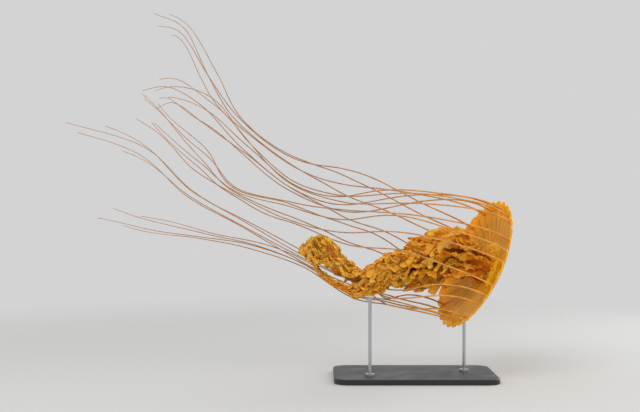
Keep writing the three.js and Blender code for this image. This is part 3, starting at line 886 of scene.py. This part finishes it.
def floor_material(colour):
    """Matt painted floor: plain and pale, and it fades into the light beyond it."""
    material, tree, surface = new_material("Matt studio floor")
    place = add(tree, "ShaderNodeTexCoord").outputs["Object"]
    distance = add(tree, "ShaderNodeVectorMath", {0: place}, operation="LENGTH")
    near, far = FLOOR_FADE
    fade = add(
        tree, "ShaderNodeMapRange",
        {"Value": distance.outputs["Value"], 1: near, 2: far, 3: 1, 4: 0},
        interpolation_type="SMOOTHSTEP")
    plug(tree, surface, {"Base Color": linear(colour), "Roughness": 0.8, "Alpha": fade.outputs[0]})
    return material


def lay_floor(colour):
    """A round floor under the stand, which is no part of the model."""
    bm = bmesh.new()
    bmesh.ops.create_circle(bm, cap_ends=True, segments=96, radius=FLOOR_RADIUS)
    mesh = bpy.data.meshes.new("floor")
    bm.to_mesh(mesh)
    bm.free()
    mesh.materials.append(floor_material(colour))
    floor = bpy.data.objects.new("floor", mesh)
    bpy.context.scene.collection.objects.link(floor)


def light_studio():
    """White light from all round, and three large soft lamps."""
    world = bpy.data.worlds.new("Studio air")
    world.use_nodes = True
    bpy.context.scene.world = world
    air = world.node_tree.nodes["Background"]
    plug(world.node_tree, air, {"Color": linear("#FFFFFF"), "Strength": STUDIO_LIGHT})
    for name, spot, size, power in LIGHTS:
        light = bpy.data.lights.new(name, "AREA")
        light.size = size
        light.energy = power
        lamp = bpy.data.objects.new(name, light)
        lamp.location = spot
        lamp.rotation_euler = (LIT - Vector(spot)).to_track_quat("-Z", "Y").to_euler()
        bpy.context.scene.collection.objects.link(lamp)


def set_camera(eye, focal_length):
    """A level camera that looks along +Y."""
    lens = bpy.data.cameras.new("camera")
    lens.lens = focal_length
    camera = bpy.data.objects.new("camera", lens)
    camera.location = eye
    camera.rotation_euler = (math.pi / 2, 0, 0)
    bpy.context.scene.collection.objects.link(camera)
    bpy.context.scene.camera = camera


# ---- Operators ---------------------------------------------------------------------------------


class SEANETTLE_OT_bell(Operator):
    """Models the bell with its lappets, septa, gonads and mouth tube"""

    bl_idname = "seanettle.bell"
    bl_label = "Bell"

    def execute(self, context):
        sizes = context.scene.sea_nettle_bell
        bell_skin(Bell(sizes), jelly_material(sizes))
        return {"FINISHED"}


class SEANETTLE_OT_oral_arms(Operator):
    """Models the four frilled oral arms"""

    bl_idname = "seanettle.oral_arms"
    bl_label = "Oral arms"

    def execute(self, context):
        sizes = context.scene.sea_nettle_arms
        line = arm_line(Bell(context.scene.sea_nettle_bell))
        material = lace_material(sizes)
        for index in range(ARMS):
            arm_skin(line, index, sizes, material)
        return {"FINISHED"}


class SEANETTLE_OT_tentacles(Operator):
    """Models the 24 tentacles, each as one tapered cord"""

    bl_idname = "seanettle.tentacles"
    bl_label = "Tentacles"

    def execute(self, context):
        sizes = context.scene.sea_nettle_tentacles
        bell = Bell(context.scene.sea_nettle_bell)
        material = tentacle_material(sizes)
        buried = -(ROOT_GAP + ROOT_DEPTH) / WAKE.length
        for strand in STRANDS.values():
            for index, start in enumerate(strand["starts"]):
                line = tentacle_line(bell, strand, index)
                bm = bent_tube(sizes.sides, sizes.rings, line, (buried, 1), tentacle_radius)
                name = f"tentacle_{start % bell.lappets:02d}"
                nodes = [f"{name}_root", f"{name}_trail"]
                finish_piece(bm, f"{name}_skin", material, nodes)
        return {"FINISHED"}


class SEANETTLE_OT_sense_organs(Operator):
    """Models the eight sense organs, one in every fourth cleft of the margin"""

    bl_idname = "seanettle.sense_organs"
    bl_label = "Sense organs"

    def execute(self, context):
        bell = Bell(context.scene.sea_nettle_bell)
        bm = bmesh.new()
        for number in range(SENSE_ORGANS):
            angle = 2 * math.pi * number / SENSE_ORGANS
            radius = bell.radius * (1 - LAPPET_DEPTH) - SENSE_ORGAN_INSET
            spot = Vector((math.sin(angle) * radius, SENSE_ORGAN_RISE, math.cos(angle) * radius))
            turn = Matrix.Rotation(angle, 4, "Y")
            stretch = Matrix.Diagonal((*SENSE_ORGAN_STRETCH, 1))
            organ = bell.place @ Matrix.Translation(spot) @ turn @ stretch
            bmesh.ops.create_uvsphere(
                bm, u_segments=16, v_segments=10, radius=SENSE_ORGAN_RADIUS, matrix=organ)
        finish_piece(bm, "sense_organs", organ_material())
        return {"FINISHED"}


class SEANETTLE_OT_stand(Operator):
    """Paints the base of the stand and finishes its two rods"""

    bl_idname = "seanettle.stand"
    bl_label = "Stand"

    def execute(self, context):
        paint, steel = paint_material(), steel_material()
        for name, material in (
            ("stand_base", paint), ("stand_rod_bell", steel), ("stand_rod_arms", steel),
        ):
            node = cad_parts[name]
            for slot in node.material_slots:
                slot.material = material
        return {"FINISHED"}


class SEANETTLE_OT_stage(Operator):
    """Lays the floor and sets the lights and the camera"""

    bl_idname = "seanettle.stage"
    bl_label = "Stage"

    def execute(self, context):
        stage = context.scene.sea_nettle_stage
        lay_floor(stage.floor)
        light_studio()
        set_camera(stage.eye, stage.lens)
        context.scene.view_settings.view_transform = "Standard"
        return {"FINISHED"}


PIECES = (
    SEANETTLE_OT_stage, SEANETTLE_OT_bell, SEANETTLE_OT_sense_organs, SEANETTLE_OT_oral_arms,
    SEANETTLE_OT_tentacles, SEANETTLE_OT_stand)


class SEANETTLE_PT_panel(Panel):
    """Lists the pieces of the sea nettle"""

    bl_label = "Sea nettle"
    bl_idname = "SEANETTLE_PT_panel"
    bl_space_type = "VIEW_3D"
    bl_region_type = "UI"
    bl_category = "Sea nettle"

    def draw(self, context):
        for piece in PIECES:
            self.layout.operator(piece.bl_idname)


SETTINGS = {
    "sea_nettle_bell": SeaNettleBell,
    "sea_nettle_arms": SeaNettleArms,
    "sea_nettle_tentacles": SeaNettleTentacles,
    "sea_nettle_stage": SeaNettleStage,
}


def register():
    for kind in (*SETTINGS.values(), *PIECES, SEANETTLE_PT_panel):
        bpy.utils.register_class(kind)
    for name, kind in SETTINGS.items():
        setattr(bpy.types.Scene, name, PointerProperty(type=kind))


def unregister():
    for name in SETTINGS:
        delattr(bpy.types.Scene, name)
    for kind in reversed((*SETTINGS.values(), *PIECES, SEANETTLE_PT_panel)):
        bpy.utils.unregister_class(kind)


def main():
    """Makes every piece in order."""
    register()
    bpy.ops.seanettle.stage()
    bpy.ops.seanettle.bell()
    bpy.ops.seanettle.sense_organs()
    bpy.ops.seanettle.oral_arms()
    bpy.ops.seanettle.tentacles()
    bpy.ops.seanettle.stand()


if __name__ == "__main__":
    main()
